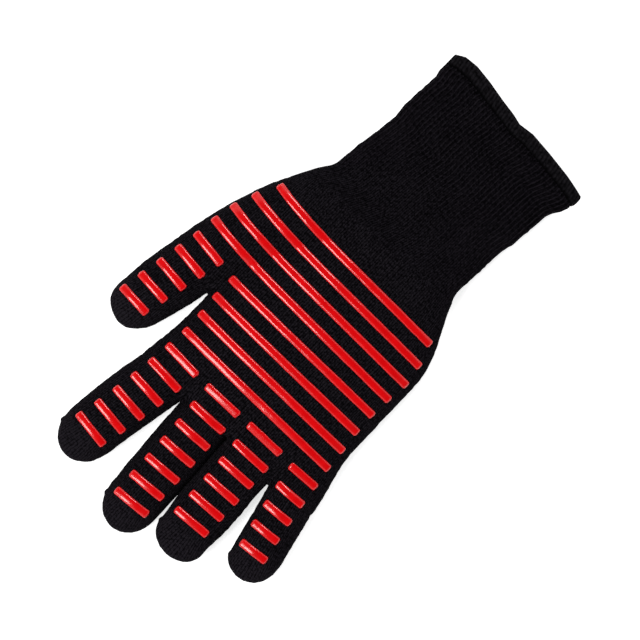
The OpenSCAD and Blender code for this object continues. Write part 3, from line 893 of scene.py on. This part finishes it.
def cuff_points(angle, share, out):
    """Points at an angle round the cuff, a share of the way to its mouth and a distance out."""
    wave_from, wave_run, roll_from, roll_run = 0.72, 0.28, 0.6, 0.4
    wall_run, mouth_from, mouth_run = 0.2, 0.6, 0.35
    left_y, right_y = mix(TOP_Y, MOUTH_L, share), mix(TOP_Y, MOUTH_R, share)
    left = np.stack([even(CUFF_LEFT, left_y, CUFF_SOFT), left_y], -1)
    right = np.stack([even(CUFF_RIGHT, right_y, CUFF_SOFT), right_y], -1)
    half, centre = (right - left) / 2, (right + left) / 2
    half_width = norm(half, axis=-1)
    upper_half, lower_half = smooth(share / 0.5), smooth((share - 0.5) / 0.5)
    form = mix(*CUFF_FORM, upper_half)
    half_thick = mix(mix(CUFF_T[0], CUFF_T[1], upper_half), CUFF_T[2], lower_half) / 2
    x, rise = power(np.cos(angle), 2 / form), power(np.sin(angle), 2 / form)
    under = rise < 0
    plan = centre + half / half_width[..., None] * ((half_width + out) * x)[..., None]
    wave = np.interp(x, MOUTH_X, MOUTH_Y) * np.where(under, UNDER_WAVE, 1.0)
    wave = wave + np.where(under, UNDER_SHORT, 0.0) * (1 - np.abs(x))
    plan[..., 1] += wave * smooth((share - wave_from) / wave_run)
    z = half_thick + (half_thick + out) * rise * np.where(under, SAG, 1.0)
    sway = np.where(rise > 0, SWAY * np.sin(x * SWAY_TURN + SWAY_START), 0.0)
    z += smooth((share - roll_from) / roll_run) * sway * (1 - x ** 4)
    # Where it lies on the table the outermost layer is the lowest, and the others stay above it
    lift = WALL_LIFT * smooth(share / wall_run)
    lowest = lift + MOUTH_LIFT * smooth((share - mouth_from) / mouth_run) - out
    return np.concatenate([plan, np.maximum(np.maximum(z, lowest), REST)[..., None]], -1)


def even_columns(share, out, count):
    """Evenly spaced angles round the cuff, their places round it, and its girth."""
    angles = np.linspace(0, 2 * math.pi, 4001)
    points = cuff_points(angles, share, out)
    arc = np.concatenate([[0], np.cumsum(norm(np.diff(points, axis=0), axis=1))])
    places = np.arange(count) / count * arc[-1]
    return np.interp(places, arc, angles), places, arc[-1]


def faces_out(points, rows, cols, probe=1):
    """Faces of a tube of rows that look outwards on the row named by probe."""
    faces = grid_faces(rows, cols)
    row = slice(probe * cols, (probe + 1) * cols)
    outwards = points[row] - points[row].mean(axis=0)
    return faces if (outwards * normals_of(points, faces)[row]).sum() > 0 else faces[:, ::-1]


def grid_uv(u, v):
    return np.column_stack([np.tile(u, len(v)), np.repeat(v, len(u))])


def side_fade(angle, least):
    """1 on the cuff's broad sides, falling to least at its edges."""
    return mix(least, 1.0, np.abs(np.sin(angle)) ** 0.5)


def cuff_tube():
    """Points of the cuff with ribs, lumps, fuzz and the seam's furrow."""
    rib_start, rib_from, rib_run, lumps_round, lumps_along, start = 0.15, 0.1, 0.6, 3.1, 5, 0.2
    angle = np.stack([even_columns(share, 0.0, COLS)[0] for share in CUFF_ROWS])
    girth = even_columns(0.5, 0.0, COLS)[2]
    turn, share = np.meshgrid(np.arange(COLS) / COLS, CUFF_ROWS)
    ribs = np.cos(turn * 2 * math.pi * RIBS) * mix(*RIB_DEPTH, smooth((share - rib_from) / rib_run))
    ribs = ribs * smooth(share / rib_start)
    places = np.stack([np.cos(angle) * lumps_round, np.sin(angle) * lumps_round, share * lumps_along], -1)
    lump = CUFF_LUMP * noise(places.reshape(-1, 3), 11).reshape(angle.shape) * smooth(share / start)
    places = np.stack([turn * girth, share * CUFF_RUN], -1) / FUZZ_GRAIN
    fuzz = FUZZ * noise(places.reshape(-1, 2), 73).reshape(angle.shape) * smooth(share / start)
    seam = -SEAM_DEPTH * np.exp(-((share - SEAM) / SEAM_HALF) ** 2) * side_fade(angle, 0.3)
    return cuff_points(angle, share, ribs + lump + fuzz + seam).reshape(-1, 3)


def join_to_palm(points, faces):
    """Lays the cuff's top on the palm's skin and returns normals that match it."""
    free = np.repeat(smooth(CUFF_ROWS / JOIN_RUN), COLS)
    for i in np.nonzero(free < 1)[0]:
        place, normal, _, _ = even_skin.find_nearest(points[i].tolist())
        points[i] = mix(np.array(place) + JOIN_ABOVE * np.array(normal), points[i], free[i])
    normals = normals_of(points, faces)
    for i in np.nonzero(free < 0.5)[0]:
        face = even_skin.find_nearest(points[i].tolist())[2]
        normal = mix(skin_normals[skin_quads[face]].mean(axis=0), normals[i], smooth(free[i] * 2))
        normals[i] = normal / norm(normal)
    return normals


def make_cuff():
    points = cuff_tube()
    faces = faces_out(points, len(CUFF_ROWS), COLS)
    normals = join_to_palm(points, faces)
    # A rib and its furrow are two columns of stitches, with the middle of one on the crest
    u = np.arange(COLS) / COLS * RIBS * 2 * RIB_WALE + RIB_WALE / 2
    uv = grid_uv(u, TOP_Y - CUFF_ROWS * CUFF_RUN)
    cuff = piece("cuff_knit", points, faces, uv, RIB_KNIT, normals)
    blend_wrist(cuff)
    stands_for(cuff, "outer_knit", "cuff_shell")


def make_cuff_lining():
    """The cotton tube in the cuff, whose faces look inwards."""
    angles, arc, _ = even_columns(0.5, 0.0, LINER_COLS)
    points = cuff_points(*np.meshgrid(angles, LINER_ROWS), LINER_OUT).reshape(-1, 3)
    faces = faces_out(points, len(LINER_ROWS), LINER_COLS)[:, ::-1]
    lining = piece("cuff_lining", points, faces, grid_uv(arc, LINER_ROWS * CUFF_RUN), COTTON)
    blend_wrist(lining)
    stands_for(lining, "cotton_liner", "cuff_liner")


def make_hem():
    """The overlocked hem, a roll of slanted loops of thread."""
    angles, arc, girth = even_columns(0.97, 1.0, HEM_COLS)
    rows = len(HEM)
    angle, share = np.meshgrid(angles, HEM[:, 0])
    out = HEM[:, 1:]
    # The roll is thinner at the two edges of the cuff
    out = np.where(out > 0, out * side_fade(angles, 0.35), out)
    down = (HEM[:, 0] - HEM[0, 0]) * CUFF_RUN
    turn = np.arange(HEM_COLS) / HEM_COLS * LOOPS + down[:, None] * LOOP_SLANT
    ridge = np.abs(np.cos(turn * math.pi)) ** 0.7
    # The loops fade out where the thread goes into the knit
    number = np.arange(rows)
    body = (smooth((number - 2) / HEM_FADE) * smooth((rows - 1 - number) / HEM_FADE))[:, None]
    lump = HEM_LUMP * noise(arc[:, None] / HEM_GRAIN, 21)
    out = out + (ridge - 0.6) * LOOP_HEIGHT * body + lump * body
    points = cuff_points(angle, share, out).reshape(-1, 3)
    faces = faces_out(points, rows, HEM_COLS, probe=6)
    hem = piece("cuff_hem_overlock", points, faces, grid_uv(arc, down), thread_material(girth / LOOPS))
    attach(hem, "cuff")
    stands_for(hem, "hem_thread", "cuff_hem")


make_cuff()
make_cuff_lining()
make_hem()


# Grip bars: beads of silicone that follow the knit under them

def surface(plan):
    """Height of the skin's upper side at plan points."""
    above = 60.0
    hits = [even_skin.ray_cast((x, y, above), (0, 0, -1))[0] for x, y in plan]
    return np.array([0.0 if hit is None else hit[2] for hit in hits])


def bed(z, at, c):
    """The knit under a bar as an even band that changes slowly along it."""
    curve = np.stack([np.ones_like(c), c, c * c], -1)
    weight = np.exp(-((at[:, None] - at) / BED_SOFT) ** 2) * np.gradient(at)
    return (weight / weight.sum(axis=1, keepdims=True)) @ z @ np.linalg.pinv(curve).T @ curve.T


def bar_stations(length):
    """Places along a bar, close together at its ends."""
    count = max(BAR_LEAST, int((length - 2 * BAR_INNER) / BAR_STEP))
    inner = np.linspace(BAR_INNER, length - BAR_INNER, count)
    return np.concatenate([BAR_ENDS, inner, (length - BAR_ENDS)[::-1]])


def upwards(grid):
    """Directions up from a grid of points, half evened out across it."""
    up = np.cross(np.gradient(grid, axis=1), np.gradient(grid, axis=0))
    up[norm(up, axis=-1) < 1e-9] = (0, 0, 1)
    up = up / norm(up, axis=-1)[..., None]
    up = np.where(up[..., 2:3] < 0, -up, up)
    return up.mean(axis=1, keepdims=True) * 0.5 + up * 0.5


def waves(at, bar_seed, sizes, seeds):
    """About 1 along a bar, uneven in its own way."""
    total = np.ones_like(at)
    for (share, length), seed in zip(sizes, seeds):
        total += share * noise(np.column_stack([at / length, np.full_like(at, bar_seed * 7.3)]), seed)
    return total


def bar(plan, seed):
    """One bead along plan points."""
    run = np.concatenate([[0], np.cumsum(norm(np.diff(plan, axis=0), axis=1))])
    at = bar_stations(run[-1])
    line = np.column_stack([np.interp(at, run, plan[:, k]) for k in (0, 1)])
    along = np.gradient(line, at, axis=0)
    along /= norm(along, axis=1)[:, None]
    side = np.column_stack([-along[:, 1], along[:, 0]])
    from_end = np.minimum(at, run[-1] - at)
    wide, high = (round_off(1 - from_end / BAR_ROUND, form) for form in BAR_END_FORMS)
    turn = np.linspace(0, math.pi, BEAD_POINTS)
    c, crown = power(np.cos(turn), 2 / BEAD_FORM), power(np.sin(turn), 2 / BEAD_FORM)
    left, right = (BAR_W / 2 * wide * waves(at, seed, EDGE_WAVES, seeds) for seeds in ((31, 32), (41, 42)))
    lump = waves(at, seed, HEIGHT_WAVES, (51, 53))
    sideways = c * np.where(c > 0, left[:, None], right[:, None])
    xy = line[:, None, :] + sideways[..., None] * side[:, None, :]
    z = surface(xy.reshape(-1, 2)).reshape(sideways.shape)
    foot = np.concatenate([xy, bed(z, at, c)[..., None]], -1)
    height = BAR_H * high[:, None] * crown * lump[:, None]
    points = (foot + upwards(foot) * (height - BAR_SINK)[..., None]).reshape(-1, 3)
    uv = np.column_stack([np.repeat(at, BEAD_POINTS), np.tile(c * BAR_W / 2, len(at))])
    faces = grid_faces(len(at), BEAD_POINTS, closed=False)
    if normals_of(points, faces)[:, 2].mean() < 0:
        faces = faces[:, ::-1]
    return points, faces, uv


def bars(name, lines, nodes, first_seed):
    """One piece with a bead along each line, in place of CAD nodes."""
    points, faces, uvs = zip(*(bar(line, first_seed + k) for k, line in enumerate(lines)))
    starts = np.cumsum([0] + [len(bead) for bead in points])
    faces = [bead + start for bead, start in zip(faces, starts)]
    made = piece(name, np.concatenate(points), np.concatenate(faces), np.concatenate(uvs), RED)
    stands_for(made, "grip_silicone", *nodes)
    return made


def long_lines():
    lines = []
    t = np.linspace(0, 1, 80)
    for k, (y, left, right) in enumerate(LONG_BARS):
        fall, bow = PALM_BAR_FALL if k < PALM_BARS else BALL_BAR_FALL
        lines.append(np.column_stack([mix(left, right, t), y - fall * t - bow * t ** BOW_FORM]) / NEARER)
    return lines


def digit_lines(name):
    """Plan points of a digit's bars, from the palm to the tip."""
    first, last, bend, count, slopes, lengths = DIGIT_BARS[name]
    lines = []
    for t in np.linspace(0, 1, count):
        middle = mix(np.array(first), np.array(last), t) + (4 * bend * t * (1 - t), 0)
        reach = mix(*lengths, t) / 2 * across(-mix(*slopes, t))
        lines.append(np.array([middle - reach, middle + reach]) / NEARER)
    return lines


def make_bars():
    """The long bars, and on each digit one on the palm, two at each fold and the rest at the tip."""
    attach(bars("palm_bars", long_lines(), ["palm_grips"], 100), "hand")
    for i, name in enumerate(DIGITS):
        root = "thumb_root_grips" if name == "thumb" else "finger_root_grips"
        base, tip = f"{name}_base_grips", f"{name}_tip_grips"
        lines = digit_lines(name)
        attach(bars(f"{name}_palm_bar", lines[:1], [root], 10 * i + 1), "hand")
        blend_root(bars(f"{name}_root_bars", lines[1:3], [root, base], 10 * i + 2), name)
        blend_mid(bars(f"{name}_mid_bars", lines[3:5], [base, tip], 10 * i + 4), name)
        if lines[5:]:
            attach(bars(f"{name}_tip_bars", lines[5:], [tip], 10 * i + 6), f"{name}_tip")


make_bars()


# Studio

def make_floor():
    """A pale floor that glows where it is seen and keeps the shadow."""
    half = FLOOR_HALF
    corners = [(-half, -half, 0), (half, -half, 0), (half, half, 0), (-half, half, 0)]
    mesh = bpy.data.meshes.new("floor")
    mesh.from_pydata(corners, [], [range(4)])
    material, tree = new_material("floor")
    rays = ("Camera", "Glossy", "Transmission")
    seen, glossy, clear = (tree.output("ShaderNodeLightPath", f"Is {ray} Ray") for ray in rays)
    seen = seen.apply("MAXIMUM", glossy).apply("MAXIMUM", clear)
    tree.shade(
        Base_Color=tree.ramp(tree.noise(3, 2), [(0.3, (0.86, 0.86, 0.86)), (0.7, (0.88, 0.88, 0.88))]),
        Roughness=0.9,
        Specular_IOR_Level=0.1,
        Emission_Color=(1, 1, 1, 1),
        Emission_Strength=seen * FLOOR_GLOW,
    )
    mesh.materials.append(material)
    floor = add_object("floor", mesh)
    floor.location.z = FLOOR_Z


def make_lamp(name, place, aim, size, watts):
    """A soft box that looks at a point."""
    light = bpy.data.lights.new(name, "AREA")
    light.shape = "RECTANGLE"
    light.size, light.size_y = size
    light.energy = watts
    lamp = add_object(name, light)
    lamp.location = place
    lamp.rotation_euler = (Vector(aim) - Vector(place)).to_track_quat("-Z", "Y").to_euler()


def make_sky():
    """White all round and dark above, where only the lamps shine on the beads."""
    world = bpy.data.worlds.new("studio")
    bpy.context.scene.world = world
    world.use_nodes = True
    tree = ShaderTree(world.node_tree)
    direction = tree.output("ShaderNodeTexCoord", "Generated")
    height = tree.output("ShaderNodeSeparateXYZ", 2, Vector=direction)
    greys = [(0.0, 1.0), (0.55, 1.0), (0.78, 0.1), (0.92, 0.01)]
    colour = tree.ramp(height, [(at, (grey,) * 3) for at, grey in greys])
    tree.fill(tree.nodes["Background"], Color=colour, Strength=SKY)


def make_camera():
    """The photograph's view, straight down with the picture turned."""
    camera = bpy.data.cameras.new("camera")
    camera.sensor_width = SENSOR
    camera.lens = LENS
    holder = add_object("camera", camera)
    holder.location = (*CAMERA_AT, GLOVE_MID + PICTURE_W / 2 / (SENSOR / 2 / LENS))
    holder.rotation_euler = (0, 0, math.radians(CAMERA_TURN))
    bpy.context.scene.camera = holder


make_floor()
for name, values in LAMPS.items():
    make_lamp(name, *values)
make_sky()
make_camera()
bpy.context.scene.view_settings.view_transform = "Standard"
